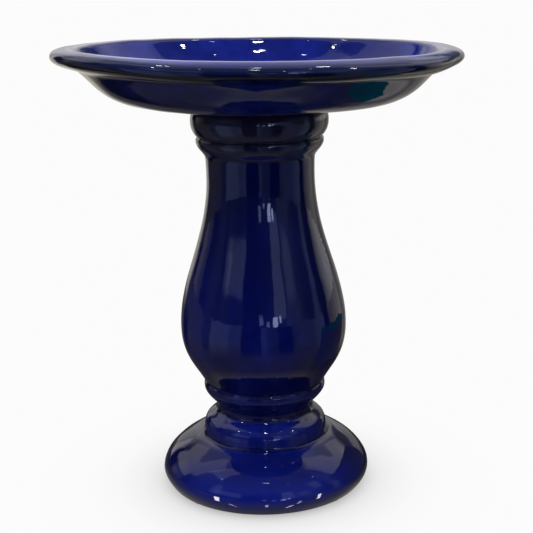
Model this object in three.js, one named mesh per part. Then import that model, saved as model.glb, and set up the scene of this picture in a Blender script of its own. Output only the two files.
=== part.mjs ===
// Glazed stoneware bird bath: a round basin that rests, loose, on a hollow
// baluster pedestal. Millimetres, +Z up, origin on the ground under the middle
// of the foot. Every piece is a body of revolution about a vertical axis.
import * as THREE from 'three';
import { mergeVertices } from 'three/addons/utils/BufferGeometryUtils.js';

// ---- driving dimensions ------------------------------------------------
const FACE_GAP = 0.05;        // air left between two faces that rest together

// rubber pads that lift the foot off the ground
const PAD_T = 1.6;            // height from the ground to the foot
const PAD_R = 4.4;
const PAD_BASE_R = PAD_R - 0.9;
const PAD_EDGE_R = PAD_R - 0.2;
const PAD_EDGE_Z = 0.5;
const PAD_COUNT = 4;
const FIRST_PAD_ANGLE = 45;   // degrees from +X

// pedestal
const FOOT_IN_R = 108.2;      // flat underside of the foot
const FOOT_OUT_R = 117.0;
const FOOT_MAX_R = 126.0;
const MOUTH_R = 60.6;
const PED_TOP_Z = 453.9;      // outer land round the top
const REBATE_Z = 451.8;       // step inside that land, which the seat ring lies in
const REBATE_R = 71.0;

// loose rubber seat ring, just proud of the land
const RING_IN_R = 63.8;
const RING_OUT_R = 70.2;
const RING_BEVEL_R = 0.3;     // bevel on both outer edges
const RING_BEVEL_Z = 0.5;

// basin
const SEAT_Z = 454.4;         // flat land on the underside
const RIM_MAX_R = 232.3;
const RIM_TOP_Z = 524.0;
const SPIGOT_OUT_R = 54.0;    // ring under the basin that drops into the mouth
const SPIGOT_IN_R = 44.5;
const SPIGOT_END_Z = 444.2;

// steps round each revolved piece
const BOWL_SEGMENTS = 60;
const PED_SEGMENTS = 48;
const RING_SEGMENTS = 48;
const PAD_SEGMENTS = 20;

// ---- profiles, [radius, height] -----------------------------------------
// basin, water side: from the middle of the floor out to the lip
const BOWL_INSIDE = [
  [0, 463.2], [30.0, 463.5], [60.0, 464.5], [90.0, 466.5], [118.0, 469.3], [142.0, 473.0],
  [158.0, 477.0], [170.0, 481.6], [180.0, 487.6], [188.0, 494.5], [194.0, 501.4],
  [201.8, 512.8],
];
// basin, outside: from the inner edge of the rolled lip down to the seat
const BOWL_OUTSIDE = [
  // crown of the lip
  [205.8, 518.8], [207.4, 521.3], [210.0, 523.1], [213.6, 523.9], [218.0, RIM_TOP_Z],
  // round the nose and back under the lip
  [223.0, 523.5], [227.6, 522.3], [230.8, 520.3], [RIM_MAX_R, 517.6], [232.1, 514.4],
  [230.7, 511.7], [225.0, 507.6], [213.5, 503.4], [204.2, 500.4],
  // down the saucer
  [199.0, 496.0], [189.5, 486.5], [182.6, 479.8], [175.0, 473.8], [164.0, 467.9],
  [156.5, 465.0], [144.0, 462.1], [116.0, 458.7], [81.0, 454.6], [79.0, SEAT_Z],
];
// inner edge of the seat, spigot ring and the recessed middle of the underside
const BOWL_UNDER = [
  [55.5, SEAT_Z], [SPIGOT_OUT_R, 453.0], [SPIGOT_OUT_R, 445.6], [52.6, SPIGOT_END_Z],
  [46.0, SPIGOT_END_Z], [SPIGOT_IN_R, 445.8], [SPIGOT_IN_R, 454.2], [42.5, 455.6], [0, 455.6],
];

// pedestal, inside: the hollow, from the open foot up to the top land
const PED_INSIDE = [
  [FOOT_IN_R, PAD_T], [114.3, 17.1], [113.2, 25.6], [107.5, 33.6], [97.0, 41.4],
  [74.0, 53.0], [66.0, 59.2], [58.5, 73.6], [49.4, 87.6], [47.6, 96.0],
  [50.5, 105.0], [61.6, 117.0], [64.2, 132.0], [80.6, 153.6], [86.8, 167.6],
  [89.9, 190.6], [88.0, 215.6], [83.0, 240.1], [68.3, 292.1], [60.8, 319.1],
  [56.0, 341.6], [53.8, 365.0], [53.8, 397.0], [58.0, 413.6],
  // mouth, then the rebate for the seat ring
  [MOUTH_R, 426.0], [MOUTH_R, 449.8], [62.4, REBATE_Z], [REBATE_R, REBATE_Z],
  [REBATE_R, 453.2], [71.7, PED_TOP_Z],
];
// pedestal, outside: from the top land down to the underside of the foot
const PED_OUTSIDE = [
  // two collar beads
  [73.6, PED_TOP_Z], [76.2, 453.3], [78.2, 451.8], [79.4, 448.8], [80.2, 441.2], [79.7, 434.9],
  [77.4, 428.9], [73.0, 423.2], [74.5, 419.2], [73.8, 414.6], [70.2, 408.6],
  // neck
  [64.7, 401.2], [63.4, 395.6], [63.3, 367.6], [64.4, 353.6], [67.5, 332.6],
  // baluster belly
  [72.5, 310.6], [79.2, 288.6], [88.6, 259.0], [94.4, 237.1], [98.4, 215.9],
  [99.4, 194.6], [98.4, 182.6], [94.3, 167.3], [88.0, 154.1], [77.7, 138.3],
  // quirk and torus
  [71.4, 127.6], [73.2, 123.4], [72.4, 117.8], [69.0, 112.0], [62.0, 104.5],
  // waist
  [57.6, 98.6], [57.3, 93.2], [60.6, 88.6],
  // shoulder ring
  [70.2, 81.5], [73.4, 76.0], [74.6, 67.0], [75.4, 62.4], [78.2, 60.9],
  // spreading foot
  [84.5, 59.8], [99.4, 51.8], [111.8, 42.3], [119.4, 34.6], [124.5, 26.4],
  [FOOT_MAX_R, 18.1], [125.2, 13.4], [122.6, 8.0], [119.4, 3.2], [FOOT_OUT_R, PAD_T],
];

// ---- materials -----------------------------------------------------------
const COBALT_GLAZE = { color: 0x14207a, roughness: 0.08, metalness: 0 };
const RING_RUBBER = { color: 0x1c1c1d, roughness: 0.75, metalness: 0 };
const PAD_RUBBER = { color: 0x8f8f8b, roughness: 0.5, metalness: 0 };

// ---- builders ------------------------------------------------------------
// Turns a (radius, height) outline about the Z axis. The outline runs
// anticlockwise, so that the faces point outwards.
function revolve(outline, segments) {
  const points = outline.map(([radius, z]) => new THREE.Vector2(radius, z));
  const endsOnAxis = points[0].x === 0 && points.at(-1).x === 0;
  if (!endsOnAxis) points.push(points[0].clone());

  const lathe = new THREE.LatheGeometry(points, segments);
  lathe.rotateX(Math.PI / 2);
  // without these the vertices along the seam match and can be merged
  lathe.deleteAttribute('normal');
  lathe.deleteAttribute('uv');
  const closed = mergeVertices(lathe, 1e-4);
  closed.computeVertexNormals();
  return closed;
}

function piece(name, outline, segments, finish) {
  const mesh = new THREE.Mesh(
    revolve(outline, segments),
    new THREE.MeshStandardMaterial(finish),
  );
  mesh.name = name;
  return mesh;
}

function group(name, ...children) {
  const result = new THREE.Group();
  result.name = name;
  return result.add(...children);
}

// ---- pieces --------------------------------------------------------------
function pedestal() {
  const outline = [...PED_INSIDE, ...PED_OUTSIDE].reverse();
  return piece('pedestal', outline, PED_SEGMENTS, COBALT_GLAZE);
}

// pads evenly spaced along the middle of the foot's flat underside
function footPad(index) {
  const top = PAD_T - FACE_GAP;
  const outline = [[0, 0], [PAD_BASE_R, 0], [PAD_EDGE_R, PAD_EDGE_Z], [PAD_R, top], [0, top]];
  const pad = piece(`foot_pad_${index + 1}`, outline, PAD_SEGMENTS, PAD_RUBBER);
  const pitchRadius = (FOOT_IN_R + FOOT_OUT_R) / 2;
  const angle = THREE.MathUtils.degToRad(FIRST_PAD_ANGLE + index * 360 / PAD_COUNT);
  pad.position.set(pitchRadius * Math.cos(angle), pitchRadius * Math.sin(angle), 0);
  return pad;
}

function seatRing() {
  const low = REBATE_Z + FACE_GAP;
  const high = SEAT_Z - FACE_GAP;
  const bevelR = RING_OUT_R - RING_BEVEL_R;
  const outline = [
    [RING_IN_R, low], [bevelR, low], [RING_OUT_R, low + RING_BEVEL_Z],
    [RING_OUT_R, high - RING_BEVEL_Z], [bevelR, high], [RING_IN_R, high],
  ];
  return piece('seat_ring', outline, RING_SEGMENTS, RING_RUBBER);
}

function bowl() {
  const outline = [...BOWL_INSIDE, ...BOWL_OUTSIDE, ...BOWL_UNDER].reverse();
  return piece('bowl', outline, BOWL_SEGMENTS, COBALT_GLAZE);
}

// ---- assembly ------------------------------------------------------------
const footPads = Array.from({ length: PAD_COUNT }, (_, i) => footPad(i));

const birdBath = group('bird_bath',
  group('base', pedestal(), ...footPads),  // fixed
  group('seat', seatRing()),               // loose between the two ceramic faces
  group('top', bowl()),                    // lifts off and turns freely on the ring
);

export default birdBath;
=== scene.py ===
"""Glazed stoneware bird bath: basin, pedestal, rubber seat ring and four foot pads.

It stands upright about the Z axis on a floor at z = 0. The front faces -Y and +X is to the right.
Profiles and unevenness are in millimetres; the finished meshes and the studio are in metres.
Studio directions are an azimuth (0 to the front, positive to the right) and an elevation, in degrees.
"""
import math
from collections import namedtuple

import bpy
import numpy as np
from mathutils import Matrix, Vector


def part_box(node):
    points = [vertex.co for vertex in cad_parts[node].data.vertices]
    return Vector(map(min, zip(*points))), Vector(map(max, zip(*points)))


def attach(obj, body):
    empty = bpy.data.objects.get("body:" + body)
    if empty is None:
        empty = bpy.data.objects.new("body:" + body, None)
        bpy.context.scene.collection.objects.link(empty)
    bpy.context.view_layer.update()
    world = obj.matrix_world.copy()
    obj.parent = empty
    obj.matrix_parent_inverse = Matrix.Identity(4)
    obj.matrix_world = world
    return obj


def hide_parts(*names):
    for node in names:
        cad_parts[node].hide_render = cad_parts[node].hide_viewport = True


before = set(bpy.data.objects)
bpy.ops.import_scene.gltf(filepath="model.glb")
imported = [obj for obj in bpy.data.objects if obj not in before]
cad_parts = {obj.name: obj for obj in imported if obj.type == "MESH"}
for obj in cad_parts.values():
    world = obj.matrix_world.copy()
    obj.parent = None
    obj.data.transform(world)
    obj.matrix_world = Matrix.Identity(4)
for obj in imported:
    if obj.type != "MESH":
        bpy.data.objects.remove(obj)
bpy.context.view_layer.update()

MM = 0.001
TAU = 2.0 * math.pi

BOWL_SEGMENTS = 384
PEDESTAL_SEGMENTS = 320
RING_SEGMENTS = 200
PAD_SEGMENTS = 56

LIFT = 3.6              # added to every height in the profile tables
RIM_LEAN = 3.15         # the rim stands this much up on one side and down on the other
RIM_LEAN_AT = math.radians(170)
BOWL_RADIUS = 232.0
WELL_RADIUS = 206       # where the well meets the lip
SEAT_EDGE = 84          # the bowl stays true inside this radius
RING_INNER = 63.8
RING_CORNER = 0.55
PALE = 0.972            # brightness of floor and surround as the camera sees them

# --------------------------------------------------------------------------
# profile tables: radius, height, smoothing length
# --------------------------------------------------------------------------
BOWL_INSIDE = [
    (0, 459.6, 6), (15, 459.65, 6), (30, 459.9, 6), (45, 460.3, 6), (60, 460.9, 6),
    (75, 461.8, 6), (90, 462.9, 6), (104, 464.2, 6), (118, 465.7, 6), (130, 467.4, 5),
    (142, 469.4, 5), (150, 471.2, 4), (158, 473.4, 4), (164, 475.5, 3), (170, 478.0, 3),
    (175, 480.8, 3), (180, 484.0, 3), (184, 487.0, 3), (188, 490.6, 3), (191, 494.2, 3),
    (193.6, 497.7, 2.5), (195.9, 501.2, 2.5), (198.1, 504.8, 2), (200.1, 508.2, 2),
    (201.8, 511.1, 1.6), (203.1, 513.5, 1.4), (204.3, 515.6, 1.2),
]
BOWL_OUTSIDE = [
    (205.6, 517.5, 1.1), (207.5, 519.0, 1.1), (210.0, 520.0, 1.2), (213.4, 520.5, 1.6),
    (217.8, 520.7, 1.8), (222.6, 520.1, 1.8), (227.2, 518.9, 1.4), (230.4, 516.9, 1.1),
    (232.1, 514.2, 1.0), (232.4, 511.3, 1.0), (231.1, 508.4, 1.0), (228.6, 506.1, 1.3),
    (225.0, 504.2, 1.6), (220.0, 502.1, 1.6), (213.5, 499.9, 1.6), (208.0, 498.3, 1.2),
    (204.6, 497.0, 0.9), (202.0, 495.1, 1.2), (199.0, 492.4, 1.8), (195.7, 489.2, 2.5),
    (192.5, 486.0, 2.5), (189.5, 482.9, 3), (186.0, 479.4, 3), (182.6, 476.2, 3),
    (179.0, 473.2, 3), (175.0, 470.3, 3), (170.0, 467.2, 3), (164.0, 464.2, 4),
    (156.5, 461.3, 5), (150.4, 459.7, 5), (144.0, 458.5, 5), (132.0, 456.9, 5),
    (116.0, 455.0, 5), (100.0, 453.2, 4), (88.0, 451.7, 3), (81.6, 450.95, 1.0),
    (79.4, 450.8, 0.6),
]
# seat land, spigot ring and the hollow inside it
BOWL_UNDER = [
    (66.0, 450.8, 1), (56.6, 450.8, 0.8), (55.0, 450.3, 0.6), (54.0, 449.0, 0.6),
    (53.9, 446.0, 0.8), (53.6, 442.2, 0.6), (52.6, 440.8, 0.5), (50.8, 440.6, 0.5),
    (47.4, 440.6, 0.5), (45.6, 441.0, 0.5), (44.7, 442.4, 0.6), (44.6, 446.6, 0.8),
    (44.2, 450.2, 0.7), (42.4, 451.7, 0.8), (38.0, 452.05, 1.5), (20.0, 452.1, 3),
    (0, 452.1, 3),
]
PEDESTAL_OUTSIDE = [
    (73.6, 450.3, 0.4), (75.6, 450.05, 0.6), (77.3, 448.9, 0.9), (78.6, 446.8, 1.1),
    (79.5, 443.8, 1.3), (80.1, 440.0, 1.3), (80.2, 436.4, 1.2), (79.8, 432.6, 1.2),
    (78.9, 428.9, 1.2), (77.3, 425.3, 1.0), (75.3, 422.2, 0.6), (73.4, 420.3, 0.35),
    (72.5, 419.3, 0.3), (73.3, 418.3, 0.35), (74.3, 416.6, 0.6), (74.5, 414.0, 1.0),
    (73.9, 411.0, 1.0), (72.4, 408.0, 1.0), (70.2, 405.0, 1.0), (67.2, 401.6, 0.9),
    (65.0, 398.6, 0.8), (63.9, 395.6, 0.8), (63.5, 391.5, 1.5), (63.3, 387.0, 5),
    (63.2, 376.0, 8), (63.3, 366.0, 8), (63.8, 357.0, 8), (64.6, 349.5, 8), (65.5, 342.5, 8),
    (66.5, 335.5, 8), (67.7, 328.5, 8), (69.1, 321.5, 8), (70.8, 314.0, 8), (72.7, 306.8, 8),
    (74.8, 299.4, 8), (77.0, 292.0, 8), (79.3, 284.7, 8), (81.6, 277.4, 8), (84.0, 270.0, 8),
    (86.4, 262.6, 8), (88.6, 255.4, 8), (90.7, 248.2, 8), (92.6, 241.0, 8), (94.4, 233.6, 8),
    (96.0, 226.4, 8), (97.4, 219.2, 8), (98.4, 212.0, 8), (99.1, 205.0, 8), (99.4, 198.0, 8),
    (99.4, 191.0, 7), (99.0, 184.0, 6), (98.1, 177.2, 6), (96.6, 170.4, 5), (94.5, 163.8, 5),
    (91.7, 157.2, 5), (88.0, 150.4, 5), (84.1, 144.4, 5), (81.0, 139.8, 4), (77.8, 134.9, 3),
    (74.9, 130.0, 1.6), (72.6, 126.2, 0.7), (71.2, 124.1, 0.35), (72.0, 122.9, 0.35),
    (73.0, 121.2, 0.7), (73.3, 118.8, 0.9), (73.1, 116.0, 1.0), (72.3, 113.4, 1.0),
    (70.9, 110.9, 1.0), (68.9, 108.3, 1.2), (65.7, 104.6, 1.6), (62.0, 101.0, 1.8),
    (58.9, 97.4, 1.6), (57.3, 93.6, 1.5), (57.5, 89.6, 1.4), (59.4, 86.2, 1.2),
    (62.6, 83.7, 1.2), (66.6, 81.2, 1.4), (70.1, 78.2, 1.4), (72.6, 74.5, 1.3),
    (74.0, 69.6, 1.4), (74.6, 64.6, 1.2), (74.9, 61.2, 0.7), (75.7, 58.9, 0.6),
    (77.3, 57.7, 0.7), (79.8, 57.3, 1.2), (82.8, 56.8, 2), (86.6, 55.4, 3), (92.5, 52.2, 4),
    (99.2, 48.2, 5), (105.2, 44.4, 5), (109.6, 41.0, 5), (113.2, 37.6, 5), (116.4, 34.3, 4),
    (119.2, 30.9, 4), (121.6, 27.4, 3.5), (123.6, 23.8, 3), (125.1, 19.8, 2.5),
    (125.9, 15.4, 2), (125.8, 11.4, 2), (124.6, 7.8, 1.8), (122.9, 4.6, 1.5),
    (121.0, 1.9, 1.2), (119.3, -0.6, 0.8), (118.2, -1.7, 0.5), (116.6, -2.0, 0.4),
]
PEDESTAL_INSIDE = [
    (109.6, -2.0, 0.5), (108.6, -1.6, 0.5), (108.9, 0.0, 1), (111.8, 6, 3), (113.8, 13.5, 4),
    (112.8, 22, 4), (107.5, 30.0, 5), (98, 37.2, 5), (86, 43.6, 5), (74, 49.4, 4),
    (66.4, 55.2, 3), (62.2, 62, 3), (59.4, 68.6, 3), (55, 75.5, 3), (50.0, 83, 3),
    (47.8, 92, 4), (50.0, 100.4, 4), (56, 107.4, 3), (61.2, 113.2, 3), (62.8, 121, 4),
    (64.6, 128.4, 4), (71.6, 138, 6), (80.4, 150, 6), (86.6, 164, 6), (89.5, 180, 8),
    (89.7, 195, 8), (87.8, 212, 8), (82.8, 236.5, 8), (75.8, 262, 8), (68.2, 288.5, 8),
    (60.8, 315.5, 8), (56, 338, 8), (54.0, 360, 8), (53.8, 390, 6), (55, 402.5, 4),
    (58.4, 411, 3), (60.3, 421, 3), (60.6, 430, 2), (60.65, 444, 1.0), (61.1, 447.0, 0.5),
    (62.2, 448.1, 0.35), (64.0, 448.2, 0.3), (70.3, 448.2, 0.25), (71.0, 448.5, 0.2),
    (71.05, 449.6, 0.2), (71.5, 450.15, 0.25), (72.4, 450.3, 0.3),
]
# throwing ridges on the pedestal: depth, bottom, top, pitch, phase scale, phase shift
RIDGES = [(0.105, 64, 84, 4.4, 1, 0), (0.040, 8, 40, 5.6, 1, 1), (0.045, 104, 128, 4.8, 1, 3),
          (0.085, 410, 450, 4.3, 1, 2), (0.012, 130, 400, 15.0, 2, 0)]

# --------------------------------------------------------------------------
# turning a profile into a mesh
# --------------------------------------------------------------------------
# along: distance along the line; turn: its signed turn per mm, above 0 on a convex edge
Profile = namedtuple("Profile", "along radius height turn")


def lifted(points):
    return [(radius, height + LIFT, smoothing) for radius, height, smoothing in points]


def smoothstep(start, end, x):
    u = np.clip((x - start) / (end - start), 0, 1)
    return u * u * (3 - 2 * u)


def smooth_profile(points, closed, step=0.25, most_padding=120):
    """Resample a polyline evenly and round it with a Gaussian of the local smoothing length."""
    table = np.array(points, float)
    if closed:
        table = np.vstack([table, table[:1]])
    lengths = np.hypot(*np.diff(table[:, :2], axis=0).T)
    stations = np.concatenate([[0], np.cumsum(lengths)])
    count = int(round(stations[-1] / step)) + 1
    along = np.linspace(0, stations[-1], count)
    radius, height, sigma = (np.interp(along, stations, column) for column in table.T)
    # pad both ends for the Gaussian: wrapped if closed, mirrored across the axis if open
    pad = min(most_padding, count - 2)
    if closed:
        padded = [np.concatenate([v[-pad - 1:-1], v, v[1:pad + 1]]) for v in (radius, height)]
    else:
        padded = [np.concatenate([sign * v[pad:0:-1], v, sign * v[-2:-pad - 2:-1]])
                  for sign, v in ((-1, radius), (1, height))]
    offsets = np.arange(-pad, pad + 1) * (along[1] - along[0])
    rounded = np.empty((2, count))
    for i in range(count):
        weights = np.exp(-0.5 * (offsets / max(sigma[i], 0.2)) ** 2)
        weights /= weights.sum()
        for j in range(2):
            rounded[j, i] = padded[j][i:i + 2 * pad + 1] @ weights
    return along, rounded[0], rounded[1]


def turn_rate(along, radius, height):
    """Signed change of the line's direction per mm."""
    direction = np.arctan2(np.gradient(height, along), np.gradient(radius, along))
    return np.gradient(np.unwrap(direction), along)


def smoothed(values, window):
    padded = np.pad(values, len(window) // 2, mode="edge")
    return np.convolve(padded, window, mode="valid")


def ring_stations(line, low, high, turn_per_ring=0.10):
    """Ring places: spacing runs from low mm on tight turns to high mm on straights."""
    along = line[0]
    turn = smoothed(np.abs(turn_rate(*line)), np.ones(13) / 13)
    spacing = np.clip(turn_per_ring / np.maximum(turn, 1e-4), low, high)
    rings = np.concatenate([[0], np.cumsum(np.diff(along) / spacing[1:])])
    count = int(math.ceil(rings[-1])) + 1
    return np.interp(np.linspace(0, rings[-1], count), rings, along)


def curvature(line, reach=5.0):
    """Turn per mm averaged over a reach in mm."""
    count = max(3, int(reach / (line[0][1] - line[0][0])) | 1)
    window = np.hanning(count + 2)[1:-1]
    return smoothed(-turn_rate(*line), window / window.sum())


def sample_profile(points, low, high, closed=False, step=0.25):
    line = smooth_profile(points, closed, step)
    along = ring_stations(line, low, high)
    if closed:
        along = along[:-1]
    radius, height, turn = (np.interp(along, line[0], values)
                            for values in (line[1], line[2], curvature(line)))
    if not closed:
        radius[0] = radius[-1] = 0.0
    return Profile(along, radius, height, turn)


def nearest(profile, radius, height, start=0.0):
    """Distance along the profile of the ring nearest a point, looking from start onwards."""
    gap = np.hypot(profile.radius - radius, profile.height - height)
    return profile.along[int(np.argmin(gap + (profile.along < start) * 999))]


def waves(seed, count, shortest, longest, squash_z=1.0):
    """Handmade unevenness: a sum of sines in space, so that it closes on itself."""
    rng = np.random.default_rng(seed)
    directions = rng.normal(size=(count, 3))
    directions /= np.linalg.norm(directions, axis=1)[:, None]
    lengths = np.exp(rng.uniform(math.log(shortest), math.log(longest), count))
    vectors = directions * (TAU / lengths)[:, None]
    vectors[:, 2] *= squash_z
    phases = rng.uniform(0, TAU, count)

    def field(points):
        total = np.zeros(len(points))
        for vector, phase in zip(vectors, phases):
            total += np.sin(points @ vector + phase)
        return total * (1.0 / math.sqrt(count / 2.0))
    return field


def face_outward(mesh):
    """Flip the mesh if its signed volume is negative."""
    mesh.calc_loop_triangles()
    points = np.zeros(len(mesh.vertices) * 3, np.float32)
    mesh.vertices.foreach_get("co", points)
    corners = np.zeros(len(mesh.loop_triangles) * 3, np.int32)
    mesh.loop_triangles.foreach_get("vertices", corners)
    a, b, c = points.reshape(-1, 3).astype(float)[corners.reshape(-1, 3).T]
    if np.einsum("ij,ij->i", a, np.cross(b, c)).sum() < 0:
        mesh.flip_normals()


def revolve(name, profile, segments, uneven, closed=False, **ring_values):
    """Turn a profile about Z; an open one ends in a pole on the axis at each end.

    uneven(points, normals, radius, height, angle, along) gives the displaced points in mm.
    The turn and ring_values, one number per ring, are stored as point attributes.
    """
    body = slice(None) if closed else slice(1, -1)
    rings = len(profile.radius[body])
    angle = np.tile(np.arange(segments) * TAU / segments, rings)

    def around(values):
        return np.repeat(values[body], segments)

    def in_space(radial, vertical):
        return np.stack([radial * np.cos(angle), radial * np.sin(angle), vertical], -1)

    step_r = np.gradient(profile.radius, profile.along)
    step_z = np.gradient(profile.height, profile.along)
    length = np.hypot(step_r, step_z)
    radius, height = around(profile.radius), around(profile.height)
    points = uneven(in_space(radius, height),
                    in_space(around(-step_z / length), around(step_r / length)),
                    radius, height, angle, around(profile.along))

    grid = np.arange(rings * segments).reshape(rings, segments)
    lower, upper = (grid, np.roll(grid, -1, 0)) if closed else (grid[:-1], grid[1:])
    quads = np.stack([lower, np.roll(lower, -1, 1), np.roll(upper, -1, 1), upper], -1)
    quads = quads.reshape(-1, 4)
    triangles = np.zeros((0, 3), int)
    if not closed:
        first, last = grid[0], grid[-1]
        pole = np.full(segments, rings * segments)
        triangles = np.concatenate([np.stack([pole, np.roll(first, -1), first], 1),
                                    np.stack([pole + 1, last, np.roll(last, -1)], 1)])
        poles = [(0, 0, points[ring][:, 2].mean()) for ring in (first, last)]
        points = np.concatenate([points, poles])

    mesh = bpy.data.meshes.new(name)
    mesh.vertices.add(len(points))
    mesh.vertices.foreach_set("co", (points * MM).astype(np.float32).ravel())
    loops = np.concatenate([quads.ravel(), triangles.ravel()])
    sizes = np.repeat([4, 3], [len(quads), len(triangles)])
    starts = np.concatenate([[0], np.cumsum(sizes)[:-1]])
    mesh.loops.add(len(loops))
    mesh.loops.foreach_set("vertex_index", loops.astype(np.int32))
    mesh.polygons.add(len(sizes))
    mesh.polygons.foreach_set("loop_start", starts.astype(np.int32))
    mesh.polygons.foreach_set("use_smooth", np.ones(len(sizes), bool))
    mesh.update(calc_edges=True)
    mesh.validate()
    for key, values in {"edge": profile.turn, **ring_values}.items():
        stored = around(values)
        if not closed:
            stored = np.append(stored, [values[0], values[-1]])
        mesh.attributes.new(key, "FLOAT", "POINT").data.foreach_set(
            "value", stored.astype(np.float32))
    face_outward(mesh)
    obj = bpy.data.objects.new(name, mesh)
    bpy.context.scene.collection.objects.link(obj)
    return obj


# --------------------------------------------------------------------------
# pieces
# --------------------------------------------------------------------------
# "bare" is the distance in mm past the glaze line; the thin-glaze attribute marks thin glaze together
# with painted shade on the bowl and a painted reflection on the pedestal
def build_bowl():
    profile = sample_profile(lifted(BOWL_INSIDE + BOWL_OUTSIDE + BOWL_UNDER), 0.55, 4.0)
    along, ring_r = profile.along, profile.radius
    nose = along[int(np.argmax(ring_r))]        # the widest point of the lip
    big = waves(11, 14, 110, 260)
    middle = waves(12, 26, 34, 80)
    fine = waves(13, 36, 12, 26)

    def uneven(points, normals, radius, height, angle, along):
        out = points.copy()
        # the seat and spigot stay truer than the rest
        free = smoothstep(SEAT_EDGE, 120, radius)
        amount = 0.10 * middle(points) + 0.020 * fine(points)
        amount = amount * (0.25 + 0.75 * free) * np.clip(radius / 25.0, 0, 1)
        out += normals * amount[:, None]
        out[:, 2] += free * (0.28 * big(points))
        # the bowl leans on its seat, is a touch out of round and sits off centre
        out[:, 2] += (RIM_LEAN * smoothstep(80, 165, radius) * (radius / BOWL_RADIUS)
                      * np.cos(angle - RIM_LEAN_AT))
        oval = 0.0013 * np.cos(2 * angle + 0.6) + 0.0006 * np.cos(3 * angle + 2.1)
        out[:, :2] *= (1 + smoothstep(SEAT_EDGE, 200, radius) * oval)[:, None]
        out[:, 0] -= 1.1 * smoothstep(SEAT_EDGE, 150, radius)
        # the front of the lip sags, with a fuller roll; the back sags less
        degrees = np.degrees(angle) % 360
        front = smoothstep(224, 256, degrees) * (1 - smoothstep(318, 350, degrees))
        upper = (along < nose).astype(float)
        roll = upper * smoothstep(211, 229, radius) + (1 - upper) * smoothstep(204, 219, radius)
        out[:, 2] -= 1.6 * front * smoothstep(140, WELL_RADIUS, radius)
        out[:, 2] -= 2.5 * front * roll
        back = np.clip(np.cos(angle - math.radians(90)), 0, 1) ** 6
        out[:, 2] -= 0.6 * back * smoothstep(160, WELL_RADIUS, radius)
        return out

    # bare clay on the seat land and the spigot ring
    halfway = along[len(along) // 2]
    bare = np.minimum(along - nearest(profile, 74.5, 450.8 + LIFT, halfway),
                      nearest(profile, 43.2, 451.2 + LIFT, halfway) - along)
    # thin glaze and painted shade on the roll of the lip, less of both at its inner corner; painted
    # shade over the outside under the bowl
    upper = along < nose
    thin = np.where(upper, smoothstep(221, 229, ring_r), smoothstep(203.5, 208, ring_r))
    thin = np.maximum(thin, 0.45 * smoothstep(204, 207, ring_r) * (ring_r < 214) * upper)
    thin = np.maximum(thin, 0.32 * (along > nose))
    return revolve("bowl_glazed", profile, BOWL_SEGMENTS, uneven, bare=bare, thin=thin)


def ridge(height, bottom, top, pitch, phase):
    mask = smoothstep(bottom, bottom + 4, height) * (1 - smoothstep(top - 4, top, height))
    return mask * (np.sin(TAU * height / pitch + phase)
                   + 0.4 * np.sin(TAU * height / (pitch * 0.57) + 1.7 * phase))


def build_pedestal():
    profile = sample_profile(lifted(PEDESTAL_OUTSIDE + PEDESTAL_INSIDE), 0.45, 3.6, closed=True)
    split = nearest(profile, 113.0, LIFT - 2.0)     # under the foot, between outside and inside
    middle = waves(22, 26, 30, 75, 0.7)
    fine = waves(23, 36, 11, 24)

    def uneven(points, normals, radius, height, angle, along):
        outside = (along < split).astype(float)
        out = points.copy()
        # the foot ring and the top land stay flat
        free = np.minimum(smoothstep(LIFT - 2.0, LIFT + 6, height),
                          1 - smoothstep(445.5 + LIFT, 448.0 + LIFT, height))
        phase = 0.9 * np.sin(angle + 0.4) + 0.5 * np.sin(2 * angle + 1.3)
        ridges = sum(depth * ridge(height, bottom, top, pitch, phase * scale + shift)
                     for depth, bottom, top, pitch, scale, shift in RIDGES)
        # ridges come and go round the pedestal
        fade = 0.5 + 0.5 * np.sin(3 * angle + 0.8) * np.sin(5 * angle + height * 0.02)
        amount = 0.085 * middle(points) + 0.018 * fine(points) + ridges * (0.35 + 0.65 * fade)
        out += normals * (amount * outside * free)[:, None]
        # rougher inside, dying out towards the mouth and the foot
        inner = 0.35 * middle(points) + 0.35 * np.sin(TAU * height / 9.0 + 2 * phase)
        inner = (inner * (1 - outside) * free * (1 - smoothstep(432, 442, height))
                 * smoothstep(LIFT, LIFT + 20, height))
        out += normals * inner[:, None]
        # the shaft is a hair off straight and out of round
        out[:, 0] += 0.35 * np.sin(height / 150.0 + 0.5) * free
        oval = 0.0012 * np.cos(2 * angle + 1.9) + 0.0008 * np.cos(3 * angle + 0.3)
        out[:, :2] *= (1 + outside * free * oval)[:, None]
        return out

    # bare from the foot's edge, up the inside, to the edge of the top land
    past_foot = profile.along - nearest(profile, 119.0, LIFT - 1.2)
    before_mouth = nearest(profile, 71.4, LIFT + 450.1, split) - profile.along
    outside = profile.along < split
    bare = np.where(outside, past_foot, np.minimum(past_foot, before_mouth))
    # painted reflection: the collar under the bowl gets a lighter, greyer colour that stands for the
    # grey surroundings it mirrors
    thin = 0.62 * smoothstep(401 + LIFT, 409 + LIFT, profile.height) * outside
    return revolve("pedestal_glazed", profile, PEDESTAL_SEGMENTS, uneven, closed=True,
                   bare=bare, thin=thin)


def build_seat_ring():
    low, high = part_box("seat_ring")
    inner, outer, bottom, top = RING_INNER, high.x / MM, low.z / MM, high.z / MM
    corner, cut = RING_CORNER, RING_CORNER * .3
    outline = [
        (inner + corner, bottom), (outer - corner, bottom), (outer - cut, bottom + cut),
        (outer, bottom + corner), (outer, top - corner), (outer - cut, top - cut),
        (outer - corner, top), (inner + corner, top), (inner + cut, top - cut),
        (inner, top - corner), (inner, bottom + corner), (inner + cut, bottom + cut)]
    profile = sample_profile([(*point, .15) for point in outline], 0.25, 1.2, closed=True)
    ripple = waves(31, 16, 10, 40)

    def uneven(points, normals, radius, height, angle, along):
        out = points.copy()
        amount = 0.22 * ripple(points * (1, 1, 0)) * (radius > (inner + outer) / 2)
        out[:, :2] += np.stack([np.cos(angle), np.sin(angle)], 1) * amount[:, None]
        return out

    return revolve("seat_ring_rubber", profile, RING_SEGMENTS, uneven, closed=True)


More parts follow.
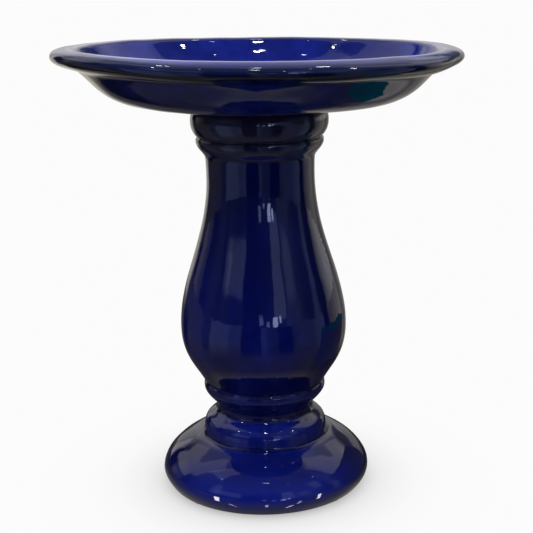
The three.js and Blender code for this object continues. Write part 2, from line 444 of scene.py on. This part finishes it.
def build_pad(number):
    low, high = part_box(f"foot_pad_{number}")
    centre = (low + high) / 2
    rim, bottom, top = (high.x - low.x) / 2 / MM, low.z / MM, high.z / MM
    outline = [
        (0, bottom, .3), (rim * .5, bottom, .3), (rim - 1.0, bottom + 0.02, .35),
        (rim - 0.35, bottom + 0.3, .3), (rim - 0.05, bottom + 0.85, .3),
        (rim, top - 0.25, .2), (rim - 0.15, top, .15), (rim * .5, top, .2), (0, top, .3)]
    ripple = waves(40 + number, 8, 3, 9)

    def uneven(points, normals, radius, height, angle, along):
        out = points.copy()
        side = np.clip((height - bottom) / 0.5, 0, 1) * np.clip((top - height) / 0.3, 0, 1)
        out[:, :2] *= (1 - 0.006 * np.abs(ripple(points)) * side)[:, None]
        return out

    pad = revolve(f"pad_rubber_{number}", sample_profile(outline, 0.2, 0.8), PAD_SEGMENTS, uneven)
    pad.data.transform(Matrix.Translation((centre.x, centre.y, 0)))
    return pad


# --------------------------------------------------------------------------
# shader node helpers: any operand is a number, an RGB tuple or a socket
# --------------------------------------------------------------------------
class Nodes:
    def __init__(self, tree):
        self.tree = tree
        tree.nodes.clear()

    def node(self, kind, **settings):
        node = self.tree.nodes.new(kind)
        for key, value in settings.items():
            setattr(node, key, value)
        return node

    def put(self, value, socket):
        if isinstance(value, (int, float)):
            socket.default_value = value
        elif isinstance(value, tuple):
            socket.default_value = (*value, 1.0)
        else:
            self.tree.links.new(value, socket)

    def fed(self, kind, inputs, **settings):
        """A new node with its inputs, given by name or number, filled in."""
        node = self.node(kind, **settings)
        for key, value in inputs.items():
            self.put(value, node.inputs[key])
        return node

    def math(self, operation, *operands):
        inputs = dict(enumerate(operands))
        return self.fed("ShaderNodeMath", inputs, operation=operation).outputs[0]

    def add(self, a, b):
        return self.math("ADD", a, b)

    def sub(self, a, b):
        return self.math("SUBTRACT", a, b)

    def mul(self, a, b):
        return self.math("MULTIPLY", a, b)

    def weighted(self, *terms, base=None):
        """base plus the sum of (value, weight) terms."""
        total = base
        for value, weight in terms:
            term = self.mul(value, weight)
            total = term if total is None else self.add(total, term)
        return total

    def azimuth(self, x, y):
        return self.math("ARCTAN2", x, self.mul(y, -1.0))

    def mix(self, factor, a, b):
        inputs = {0: factor, 6: a, 7: b}
        return self.fed("ShaderNodeMix", inputs, data_type="RGBA").outputs[2]

    def ramp(self, x, start, end, first=0.0, last=1.0):
        """Smooth change from first at start to last at end."""
        inputs = {0: x, 1: start, 2: end, 3: first, 4: last}
        return self.fed("ShaderNodeMapRange", inputs, interpolation_type="SMOOTHSTEP",
                        clamp=True).outputs[0]

    def ramp_deg(self, angle, start, end, first=0.0, last=1.0):
        return self.ramp(angle, math.radians(start), math.radians(end), first, last)

    def coords(self, offset, scale=(1, 1, 1)):
        source = self.node("ShaderNodeTexCoord").outputs["Object"]
        mapping = self.fed("ShaderNodeMapping", {"Vector": source})
        mapping.inputs["Scale"].default_value = scale
        mapping.inputs["Location"].default_value = offset
        return mapping.outputs[0]

    def split(self, vector):
        return self.fed("ShaderNodeSeparateXYZ", {0: vector}).outputs

    def noise(self, vector, scale, detail=2.0, rough=0.5, distort=0.0):
        inputs = {"Scale": scale, "Detail": detail, "Roughness": rough, "Distortion": distort,
                  "Vector": vector}
        return self.fed("ShaderNodeTexNoise", inputs).outputs[0]

    def cells(self, vector, scale):
        """Distance to the nearest cell point."""
        inputs = {"Scale": scale, "Vector": vector}
        return self.fed("ShaderNodeTexVoronoi", inputs).outputs["Distance"]

    def spots(self, vector, scale, outer, inner, patch_scale, patch):
        """Dots between outer and inner cell distance, in patches above a noise range."""
        return self.mul(self.ramp(self.cells(vector, scale), outer, inner),
                        self.ramp(self.noise(vector, patch_scale, detail=1.0), *patch))

    def attribute(self, name):
        return self.node("ShaderNodeAttribute", attribute_name=name).outputs["Fac"]

    def bump(self, height, strength, distance, normal=None):
        inputs = {"Strength": strength, "Distance": distance, "Height": height}
        if normal is not None:
            inputs["Normal"] = normal
        return self.fed("ShaderNodeBump", inputs).outputs[0]

    def level_ring(self, azimuth, stops):
        """Brightness by azimuth, from (degrees, level) stops."""
        node = self.fed("ShaderNodeValToRGB", {0: self.add(self.math("DIVIDE", azimuth, TAU), 0.5)})
        elements = node.color_ramp.elements
        while len(elements) < len(stops):
            elements.new(0.5)
        for element, (degrees, level) in zip(elements, stops):
            element.position = degrees / 360.0 + 0.5
            element.color = (level, level, level, 1.0)
        return node.outputs[0]

    def tinted(self, level, cool, warm_rgb, cool_rgb):
        """Three channels of level, from the warm tint to the cool one as cool goes 0 to 1."""
        return [self.mul(level, self.weighted((cool, cold - warm), base=warm))
                for warm, cold in zip(warm_rgb, cool_rgb)]

    def rgb(self, channels):
        return self.fed("ShaderNodeCombineColor", dict(enumerate(channels))).outputs[0]

    def emission(self, **inputs):
        return self.fed("ShaderNodeEmission", inputs).outputs[0]

    def background(self, colour):
        return self.fed("ShaderNodeBackground", {"Color": colour}).outputs[0]

    def by_ray(self, seen, mirrored, bounced):
        """One shader for camera rays, one for glossy rays and one for the rest."""
        path = self.node("ShaderNodeLightPath").outputs
        unseen = self.fed("ShaderNodeMixShader", {0: path["Is Glossy Ray"], 1: bounced, 2: mirrored})
        inputs = {0: path["Is Camera Ray"], 1: unseen.outputs[0], 2: seen}
        return self.fed("ShaderNodeMixShader", inputs).outputs[0]

    def output(self, shader, kind="Material"):
        self.fed(f"ShaderNodeOutput{kind}", {"Surface": shader})

    def principled(self, inputs):
        self.output(self.fed("ShaderNodeBsdfPrincipled", inputs).outputs[0])


def new_material(name):
    material = bpy.data.materials.new(name)
    material.use_nodes = True
    return material, Nodes(material.node_tree)


# --------------------------------------------------------------------------
# glaze and rubber
# --------------------------------------------------------------------------
EDGE_TINT = (0.024, 0.023, 0.042)
# painted light: a brighter colour for the spread of the foot
FOOT_PAINTED_LIGHT = (0.0070, 0.0165, 0.285)
# painted shade: a darker colour for the sides of the foot
FOOT_PAINTED_SHADE = (0.0022, 0.0026, 0.022)
DARK_SPECK = (0.001, 0.002, 0.030)
PALE_SEED = (0.05, 0.07, 0.30)
HONEY_FRINGE = (0.085, 0.045, 0.022)
CLAY_DARK, CLAY_LIGHT = (0.36, 0.25, 0.155), (0.56, 0.42, 0.28)
CLAY_PATCH, CLAY_GROG = (0.44, 0.30, 0.19), (0.13, 0.08, 0.05)


def glaze_colour(nodes, vec, drips, mottle, deep, mid, bright, thin_and_painted_light_colour):
    edge, thin_and_painted_light_mask = nodes.attribute("edge"), nodes.attribute("thin")
    # cloudy thickness with downward runs, darker in hollows and drier on edges
    cloud = nodes.noise(vec, scale=9.0, detail=4.0, rough=0.55, distort=0.4)
    run = nodes.noise(drips, scale=34.0, detail=3.0, rough=0.5, distort=0.2)
    thick = nodes.weighted((cloud, 0.55), (run, 0.30), (mottle, 0.15))
    pool = nodes.ramp(edge, -0.02, -0.16)
    ragged = nodes.weighted((nodes.sub(mottle, 0.5), 0.10), base=edge)
    colour = nodes.mix(nodes.ramp(thick, 0.36, 0.62), deep, mid)
    colour = nodes.mix(nodes.ramp(thick, 0.50, 0.70), colour, bright)
    colour = nodes.mix(nodes.mul(pool, 0.75), colour, tuple(x * 0.42 for x in deep))
    colour = nodes.mix(nodes.mul(nodes.ramp(ragged, 0.05, 0.20), 0.25), colour, EDGE_TINT)
    # painted light: brighter on the spread of the foot
    x, y, z = nodes.split(nodes.node("ShaderNodeTexCoord").outputs["Object"])
    colour = nodes.mix(nodes.mul(nodes.ramp(z, 0.060, 0.022), 0.64), colour, FOOT_PAINTED_LIGHT)
    # painted shade: darker on the foot away from its front
    turn = nodes.math("ABSOLUTE", nodes.azimuth(x, y))
    turn = nodes.weighted((nodes.sub(cloud, 0.5), 0.9), base=turn)
    side = nodes.mul(nodes.ramp(turn, 0.50, 1.35), nodes.ramp(z, 0.070, 0.056))
    colour = nodes.mix(nodes.mul(side, 0.72), colour, FOOT_PAINTED_SHADE)
    # thin glaze with painted shade on the bowl's lip and underside, and a painted reflection on the
    # pedestal's collar
    thin_and_painted_light_mask = nodes.mul(thin_and_painted_light_mask, nodes.weighted((run, 0.45), base=0.60))
    colour = nodes.mix(thin_and_painted_light_mask, colour, thin_and_painted_light_colour)
    # cobalt specks and faint pale seeds in the glass
    speck = nodes.spots(vec, scale=520.0, outer=0.24, inner=0.14, patch_scale=60.0,
                        patch=(0.56, 0.66))
    colour = nodes.mix(nodes.mul(speck, 0.55), colour, DARK_SPECK)
    seeds = nodes.spots(vec, scale=310.0, outer=0.12, inner=0.06, patch_scale=41.0,
                        patch=(0.58, 0.66))
    return nodes.mix(nodes.mul(seeds, 0.35), colour, PALE_SEED)


def clay_colour(nodes, vec, grain):
    clay = nodes.mix(grain, CLAY_DARK, CLAY_LIGHT)
    patches = nodes.ramp(nodes.noise(vec, scale=22.0, detail=3.0), 0.45, 0.75)
    clay = nodes.mix(patches, clay, CLAY_PATCH)
    grog = nodes.ramp(nodes.cells(vec, scale=900.0), 0.22, 0.1)
    return nodes.mix(nodes.mul(grog, 0.55), clay, CLAY_GROG)


def glaze_relief(nodes, vec, seed, grain, clay_mask):
    """Soft orange peel with a few pinholes on the glaze, grain on the bare clay."""
    peel = nodes.noise(vec, scale=210.0)
    swell = nodes.noise(vec, scale=38.0)
    flattened = nodes.coords(scale=(1, 1, 2.1), offset=(seed, 2.7, 1.3))
    ripple = nodes.noise(flattened, scale=66.0, detail=1.0, distort=0.4)
    skin = nodes.weighted((peel, 0.06), (swell, 0.55), (ripple, 0.34))
    pinholes = nodes.spots(vec, scale=150.0, outer=0.085, inner=0.03, patch_scale=19.0,
                           patch=(0.60, 0.68))
    coarse = nodes.noise(vec, scale=160.0, detail=4.0, rough=0.7)
    clay = nodes.mul(nodes.weighted((grain, 0.5), (coarse, 0.5)), clay_mask)
    normal = nodes.bump(skin, strength=0.5, distance=0.00055)
    normal = nodes.bump(nodes.mul(pinholes, -1.0), strength=0.9, distance=0.0004, normal=normal)
    return nodes.bump(clay, strength=0.8, distance=0.0005, normal=normal)


def glaze_material(name, deep, mid, bright, thin_and_painted_light_colour, seed):
    """Cobalt glaze over tan stoneware, steered by the edge, bare and thin-glaze attributes; the last
    also carries painted shade and a painted reflection.
    """
    material, nodes = new_material(name)
    vec = nodes.coords(offset=(seed * 3.1, seed * 1.7, seed * 0.9))
    drips = nodes.coords(scale=(1, 1, 0.16), offset=(seed * 2.3, 0.4, seed))
    mottle = nodes.noise(vec, scale=95.0, detail=3.0, rough=0.6)
    grain = nodes.noise(vec, scale=700.0, detail=4.0, rough=0.65)
    glaze = glaze_colour(nodes, vec, drips, mottle, deep, mid, bright, thin_and_painted_light_colour)

    # across the wavering glaze line: glaze, honey-brown fringe, clay
    waver = nodes.sub(nodes.noise(vec, scale=70.0, detail=4.0, rough=0.6), 0.5)
    line = nodes.weighted((waver, 5.0), base=nodes.attribute("bare"))
    fringe = nodes.ramp(line, -1.6, -0.1)
    clay_mask = nodes.ramp(line, -0.1, 0.5)
    colour = nodes.mix(fringe, glaze, HONEY_FRINGE)
    colour = nodes.mix(clay_mask, colour, clay_colour(nodes, vec, grain))

    # glassy, with faint dust; the clay is matt
    dust = nodes.noise(vec, scale=14.0, detail=5.0, rough=0.62, distort=0.3)
    rough = nodes.weighted((nodes.ramp(dust, 0.48, 0.72), 0.026),
                           (nodes.ramp(mottle, 0.5, 0.75), 0.015), (fringe, 0.14), base=0.018)
    rough = nodes.add(nodes.mul(rough, nodes.sub(1.0, clay_mask)), nodes.mul(clay_mask, 0.88))
    nodes.principled({"Base Color": colour, "Roughness": rough, "IOR": 1.52,
                      "Normal": glaze_relief(nodes, vec, seed, grain, clay_mask)})
    return material


def rubber_material(name, dark, light, rough_low, rough_high, seed, gloss):
    material, nodes = new_material(name)
    vec = nodes.coords(offset=(seed, seed * 2, seed * 3))
    grain = nodes.noise(vec, scale=600.0, detail=4.0, rough=0.6)
    patches = nodes.noise(vec, scale=60.0, detail=3.0, rough=0.6)
    bloom = nodes.mul(nodes.ramp(patches, 0.50, 0.72), 0.30)
    colour = nodes.mix(nodes.ramp(grain, 0.3, 0.7), dark, light)
    colour = nodes.mix(bloom, colour, tuple(x * 1.8 + 0.02 for x in light))
    normal = nodes.bump(grain, strength=0.6, distance=0.0002)
    normal = nodes.bump(patches, strength=0.5, distance=0.0003, normal=normal)
    rough = nodes.weighted((patches, rough_high - rough_low), base=rough_low)
    nodes.principled({"Base Color": colour, "Roughness": rough, "Specular IOR Level": gloss,
                      "Normal": normal})
    return material


# --------------------------------------------------------------------------
# studio: pale floor and surround for the camera, a dim room for the glaze to mirror
# --------------------------------------------------------------------------
FLOOR_RADIUS, FLOOR_Z, FLOOR_SIDES = 14.0, -0.0004, 128
BOUNCE_FLOOR = (0.24, 0.23, 0.215)
FILL = (0.082, 0.082, 0.086)
# mirrored levels by azimuth: degrees, level
FLOOR_RING = [
    (-180, .50), (-146, .78), (-138, .05), (-112, .11), (-104, .12), (-91, .13), (-88, .07),
    (-77, .07), (-74, .29), (-48, .29), (-44, .17), (-31, .19), (-29, .003), (-4, .003),
    (-3, .15), (3, .14), (5, .075), (19, .07), (21, .003), (37, .003), (39, .09), (50, .15),
    (66, .13), (72, .18), (88, .26), (90, .012), (99, .012), (102, .27), (118, .50),
    (132, .50), (140, .17), (180, .50)]
WALL_RING = [
    (-180, .70), (-149, .72), (-144, .012), (-131, .012), (-127, .22), (-108, .15),
    (-105, .03), (-92, .05), (-80, .08), (-68, .05), (-60, .09), (-54, .06), (-44, .04),
    (-30, .05), (-28, .006), (-13, .010), (13, .040), (16, .06), (31, .06), (34, .16),
    (50, .13), (60, .075), (76, .055), (79, .26), (85, .22), (88, .03), (100, .015),
    (104, .42), (112, .72), (134, .88), (143, .42), (180, .72)]
# gleams on the floor: azimuth, elevation, half width, half height, strength
GLEAMS = [(37, 27, 1.8, 11, 6.0), (-43, 44, 1.8, 11, 5.0), (0, 36, 1.9, 11, 7.0),
          (32, 53, 2.4, 12, 9.0), (57, 13, 2.7, 14, 15.0), (-55, 13, 3.2, 14, 18.0)]
# lit panels: azimuth from, to, elevation from, to, level, azimuth softness, elevation softness
PANELS = [
    # small lit things and dim panels in front
    (14, 20, 0, 6.5, 3.4, 1.0, 1.2), (22, 25, 3, 7, 3.6, .8, 1.0), (-5, 0, 2, 7, .9, 1.0, 1.0),
    (5, 9, 0, 4, 1.1, 1.0, .8), (36, 50, 12, 28, .20, 3, 4), (-60, -30, 13, 30, .30, 2, 3),
    (16, 31, 4.5, 34, .38, .8, 1.0),
    # high windows to the sides, mirrored in the foot
    (-100, -70, 50, 70, .45, 1.6, 1.6), (-140, -104, 15, 29, .60, 1.6, 1.6),
    (-146, -96, 29, 42, .46, 1.6, 1.6), (-122, -96, 42, 62, .46, 1.6, 1.6),
    (94, 126, 28, 64, .52, 1.6, 1.6), (126, 148, 26, 40, .46, 1.6, 1.6),
    (-66, -54, 12, 40, .26, 2, 3), (54, 66, 24, 44, .26, 2, 3)]


def stage_object(name, points, faces):
    mesh = bpy.data.meshes.new(name)
    mesh.from_pydata(points, [], faces)
    obj = bpy.data.objects.new(name, mesh)
    bpy.context.scene.collection.objects.link(obj)
    return obj


def floor_gleams(nodes, incoming):
    """Lamps mirrored by the floor, caught only by the toe of the foot."""
    x, y, z = nodes.split(incoming)
    azimuth = nodes.math("ARCTAN2", nodes.mul(x, -1.0), y)
    elevation = nodes.math("ARCSINE", z)
    # height the ray started from
    reach = nodes.node("ShaderNodeLightPath").outputs["Ray Length"]
    low = nodes.ramp(nodes.mul(reach, z), 0.045, 0.036)

    def near(angle, centre, half):
        gap = nodes.math("ABSOLUTE", nodes.sub(angle, math.radians(centre)))
        return nodes.ramp_deg(gap, half, half * 0.6)

    gleam = 0.0
    for az, el, width, height, strength in GLEAMS:
        spot = nodes.mul(near(azimuth, az, width), near(elevation, el, height))
        gleam = nodes.add(nodes.mul(spot, strength), gleam)
    return nodes.mul(gleam, low)


def floor_material():
    material, nodes = new_material("pale_floor")
    # seen by the camera: plain pale with a soft contact shadow
    occlusion = nodes.fed("ShaderNodeAmbientOcclusion", {"Distance": 0.16}, samples=12)
    shade = nodes.math("POWER", occlusion.outputs["AO"], 1.1)
    shade = nodes.weighted((shade, 0.58), base=0.42)
    pale = nodes.emission(Color=nodes.rgb([shade] * 3), Strength=PALE)

    # mirrored: a pool of light round the foot, weaker at the back and the right
    place = nodes.node("ShaderNodeNewGeometry").outputs
    x, y, _ = nodes.split(place["Position"])
    radius = nodes.math("SQRT", nodes.add(nodes.mul(x, x), nodes.mul(y, y)))
    azimuth = nodes.azimuth(x, y)
    turn = nodes.math("ABSOLUTE", azimuth)
    near = nodes.add(nodes.ramp(radius, 0.58, 0.32, last=0.125),
                     nodes.ramp(radius, 0.20, 0.125, last=0.15))
    near = nodes.mul(near, nodes.ramp_deg(turn, 80, 118, first=1.0, last=0.45))
    near = nodes.mul(near, nodes.ramp_deg(azimuth, 62, 84, first=1.0, last=0.5))
    # levels by azimuth further out, with dark ground close by at the back left
    far = nodes.mul(nodes.level_ring(azimuth, FLOOR_RING), nodes.ramp(radius, 0.30, 0.60))
    dark = nodes.mul(nodes.ramp_deg(azimuth, -118, -126), nodes.ramp(radius, 1.9, 1.0))
    far = nodes.mul(far, nodes.sub(1.0, nodes.mul(dark, 0.85)))
    blotch = nodes.noise(place["Position"], scale=5.0)
    level = nodes.mul(nodes.add(near, far), nodes.weighted((blotch, 0.76), base=0.62))
    # light from the front is bluer than that from behind
    cool = nodes.mul(nodes.ramp_deg(turn, 96, 80), nodes.ramp(radius, 0.40, 0.80))
    gleam = floor_gleams(nodes, place["Incoming"])
    tones = nodes.tinted(level, cool, warm_rgb=(1.06, 0.99, 0.86), cool_rgb=(0.96, 1.20, 2.20))
    dim = nodes.emission(Color=nodes.rgb([nodes.add(tone, gleam) for tone in tones]))

    bounce = nodes.fed("ShaderNodeBsdfDiffuse", {"Color": BOUNCE_FLOOR}).outputs[0]
    nodes.output(nodes.by_ray(seen=pale, mirrored=dim, bounced=bounce))
    return material


def build_floor():
    angles = np.arange(FLOOR_SIDES) * TAU / FLOOR_SIDES
    points = [(0, 0, FLOOR_Z)] + [(FLOOR_RADIUS * math.cos(a), FLOOR_RADIUS * math.sin(a), FLOOR_Z)
                                  for a in angles]
    faces = [(0, 1 + i, 1 + (i + 1) % FLOOR_SIDES) for i in range(FLOOR_SIDES)]
    stage_object("floor", points, faces).data.materials.append(floor_material())


def build_box():
    """A dark box with a teal lid to the right, seen only in the glaze."""
    points = [(x, y, z) for z in (0.0, 0.160) for y in (-0.095, 0.165) for x in (0.250, 0.362)]
    faces = [(4, 5, 7, 6), (0, 1, 5, 4), (1, 3, 7, 5), (3, 2, 6, 7), (2, 0, 4, 6)]
    box = stage_object("mirrored_box", points, faces)
    box.visible_camera = False
    box.visible_diffuse = False
    box.visible_shadow = False
    box.visible_transmission = False
    material, nodes = new_material("mirrored_box")
    normal = nodes.split(nodes.node("ShaderNodeNewGeometry").outputs["Normal"])
    side, lid = (0.060, 0.058, 0.075), (0.006, 0.110, 0.105)
    colour = nodes.mix(nodes.math("GREATER_THAN", normal[2], 0.5), side, lid)
    nodes.output(nodes.emission(Color=colour))
    box.data.materials.append(material)


def room_colour(nodes):
    x, y, z = nodes.split(nodes.node("ShaderNodeTexCoord").outputs["Generated"])
    azimuth = nodes.azimuth(x, y)
    turn = nodes.math("ABSOLUTE", azimuth)
    elevation = nodes.math("ARCSINE", z)

    def window(angle, start, end, soft):
        return nodes.mul(nodes.ramp_deg(angle, start - soft, start + soft),
                         nodes.ramp_deg(angle, end + soft, end - soft))

    def cell_number(angle, degrees):
        return nodes.math("FLOOR", nodes.mul(angle, 180 / math.pi / degrees))

    # walls, in cells that each have their own level, fading upwards
    wall = nodes.level_ring(azimuth, WALL_RING)
    cell = nodes.fed("ShaderNodeCombineXYZ", {
        0: cell_number(azimuth, 9.0), 1: cell_number(nodes.add(elevation, 0.03), 11.0)})
    white = nodes.fed("ShaderNodeTexWhiteNoise", {}, noise_dimensions="2D")
    nodes.put(cell.outputs[0], white.inputs["Vector"])
    wall = nodes.mul(wall, nodes.weighted((white.outputs["Value"], 0.60), base=0.70))
    wall = nodes.mul(wall, nodes.ramp_deg(elevation, 34, 16, first=0.25))
    # ceiling, brighter towards the back
    ceiling = nodes.mul(nodes.ramp_deg(elevation, 18, 40),
                        nodes.ramp_deg(turn, 70, 150, first=0.10, last=0.40))
    level = nodes.add(wall, ceiling)
    # a bright wall high up at the back
    glow = nodes.mul(nodes.ramp_deg(turn, 150, 164), window(elevation, 9, 42, soft=9))
    level = nodes.weighted((glow, 0.34), base=level)
    # a darker band at the back right
    shadow = nodes.mul(window(azimuth, 124, 166, soft=3), window(elevation, 12, 22, soft=2))
    level = nodes.mul(level, nodes.sub(1.0, nodes.mul(shadow, 0.80)))
    for left, right, bottom, top, strength, soft_az, soft_el in PANELS:
        panel = nodes.mul(window(azimuth, left, right, soft_az),
                          window(elevation, bottom, top, soft_el))
        level = nodes.weighted((panel, strength), base=level)
    # bluer in front, except high up
    cool = nodes.mul(nodes.ramp_deg(turn, 98, 84), nodes.ramp_deg(elevation, 62, 46))
    return nodes.rgb(nodes.tinted(level, cool, warm_rgb=(1.0, 0.985, 0.97),
                                  cool_rgb=(0.95, 1.15, 1.90)))


def build_world():
    world = bpy.data.worlds.new("studio")
    bpy.context.scene.world = world
    world.use_nodes = True
    nodes = Nodes(world.node_tree)
    shader = nodes.by_ray(seen=nodes.background((PALE, PALE, PALE)),
                          mirrored=nodes.background(room_colour(nodes)),
                          bounced=nodes.background(FILL))
    nodes.output(shader, kind="World")


# --------------------------------------------------------------------------
# lights and camera
# --------------------------------------------------------------------------
LIGHT_TARGET = (0, 0, 0.3)
LAMP_DISTANCE = 7.5
# soft lights, not mirrored by the glaze: name, azimuth, elevation, distance, size, watts
SOFT_LIGHTS = [("soft_key", -6, 69, 2.5, 1.0, 36), ("soft_front", -22, 50, 2.7, 1.2, 28),
               ("soft_back", 180, 62, 2.6, 1.4, 14), ("soft_left", -72, 34, 2.6, 1.2, 2.2),
               ("soft_right", 72, 34, 2.6, 1.2, 3.2)]
# far ceiling lamps, mirrored as small blobs: azimuth, elevation, watts, width, height
LAMPS = [(-1, 62, 36, .60, .17), (-73, 50.2, 15, .36, .13), (72, 50.2, 15, .36, .13),
         (-52, 64, 2.0, .20, .14), (50, 64, 2.0, .20, .14), (33, 54, 2.4, .20, .13),
         (14, 40, 3.0, .18, .12), (-138, 62, 12, .40, .30), (142, 66, 12, .40, .30),
         (178, 78, 12, .40, .30)]


def area_light(name, azimuth, elevation, distance, size, watts, glossy=False, shape="DISK"):
    """An area light facing LIGHT_TARGET; gives its data."""
    light = bpy.data.lights.new(name, "AREA")
    light.shape = shape
    light.size = size
    light.energy = watts
    obj = bpy.data.objects.new(name, light)
    bpy.context.scene.collection.objects.link(obj)
    az, el = math.radians(azimuth), math.radians(elevation)
    direction = np.array([math.sin(az) * math.cos(el), -math.cos(az) * math.cos(el), math.sin(el)])
    place = np.array(LIGHT_TARGET) + direction * distance
    obj.location = place
    obj.rotation_mode = "QUATERNION"
    obj.rotation_quaternion = (Vector(LIGHT_TARGET) - Vector(place)).to_track_quat("-Z", "Y")
    obj.visible_glossy = glossy
    obj.visible_camera = False
    return light


def dim_near_floor(lamp):
    """Lets the lamp hardly light points low down, so that the bell of the foot stays calm."""
    lamp.use_nodes = True
    nodes = Nodes(lamp.node_tree)
    source = nodes.node("ShaderNodeNewGeometry").outputs
    reach = nodes.node("ShaderNodeLightPath").outputs["Ray Length"]
    ray = nodes.fed("ShaderNodeVectorMath", {0: source["Incoming"], "Scale": reach},
                    operation="SCALE")
    lit_point = nodes.fed("ShaderNodeVectorMath", {0: ray.outputs[0], 1: source["Position"]},
                          operation="ADD")
    height = nodes.split(lit_point.outputs[0])[2]
    gate = nodes.ramp(height, 0.050, 0.060, first=0.04)
    nodes.output(nodes.emission(Strength=gate), kind="Light")


def build_lights():
    for row in SOFT_LIGHTS:
        area_light(*row)
    for i, (azimuth, elevation, watts, width, height) in enumerate(LAMPS, 1):
        lamp = area_light(f"lamp_{i}", azimuth, elevation, LAMP_DISTANCE, width, watts,
                          glossy=True, shape="ELLIPSE")
        lamp.size_y = height
        dim_near_floor(lamp)


def build_camera():
    yaw, pitch, roll = math.radians(0.23), math.radians(14.24), math.radians(-1.02)
    place = (0.0, -1.3015, 0.5926 + LIFT * MM)
    forward = np.array([math.sin(yaw) * math.cos(pitch), math.cos(yaw) * math.cos(pitch),
                        -math.sin(pitch)])
    level_right = np.array([math.cos(yaw), -math.sin(yaw), 0.0])
    level_up = np.cross(level_right, forward)
    right = math.cos(roll) * level_right + math.sin(roll) * level_up
    up = -math.sin(roll) * level_right + math.cos(roll) * level_up
    data = bpy.data.cameras.new("camera")
    camera = bpy.data.objects.new("camera", data)
    bpy.context.scene.collection.objects.link(camera)
    camera.matrix_world = Matrix((*zip(right, up, -forward, place), (0, 0, 0, 1)))
    data.sensor_width = 36.0
    data.lens = 76.120075
    data.clip_start = 0.05
    data.clip_end = 60.0
    bpy.context.scene.camera = camera


# --------------------------------------------------------------------------
# assembly
# --------------------------------------------------------------------------
def hand_over(obj, material, rides, replaces):
    obj.data.materials.append(material)
    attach(obj, rides)
    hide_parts(replaces)


bowl = build_bowl()
pedestal = build_pedestal()
seat_ring = build_seat_ring()
pads = [build_pad(number) for number in range(1, 5)]

# the bowl's thin-glaze colour is a dark slate, partly painted shade
bowl_glaze = glaze_material(
    "cobalt_glaze_bowl", deep=(0.0020, 0.0062, 0.105), mid=(0.0034, 0.0108, 0.180),
    bright=(0.0056, 0.0165, 0.255), thin_and_painted_light_colour=(0.0038, 0.0072, 0.026), seed=1.0)
# the pedestal's thin-glaze colour is a lighter grey, a painted reflection of its surroundings
pedestal_glaze = glaze_material(
    "cobalt_glaze_pedestal", deep=(0.0018, 0.0042, 0.080), mid=(0.0028, 0.0076, 0.138),
    bright=(0.0046, 0.0118, 0.195), thin_and_painted_light_colour=(0.040, 0.040, 0.076), seed=2.0)
seat_rubber = rubber_material(
    "black_sheet_rubber", dark=(0.012, 0.012, 0.013), light=(0.026, 0.026, 0.027),
    rough_low=0.55, rough_high=0.85, seed=5.0, gloss=0.3)
pad_rubber = rubber_material(
    "grey_pad_rubber", dark=(0.16, 0.16, 0.15), light=(0.24, 0.24, 0.225),
    rough_low=0.35, rough_high=0.6, seed=8.0, gloss=0.4)

hand_over(bowl, bowl_glaze, "basin", "bowl")
hand_over(pedestal, pedestal_glaze, "base", "pedestal")
hand_over(seat_ring, seat_rubber, "seat", "seat_ring")
for i, pad in enumerate(pads, 1):
    hand_over(pad, pad_rubber, "base", f"foot_pad_{i}")

view = bpy.context.scene.view_settings
view.view_transform = "Standard"
view.look = "None"
view.exposure = 0.0
view.gamma = 1.0
build_floor()
build_box()
build_world()
build_lights()
build_camera()
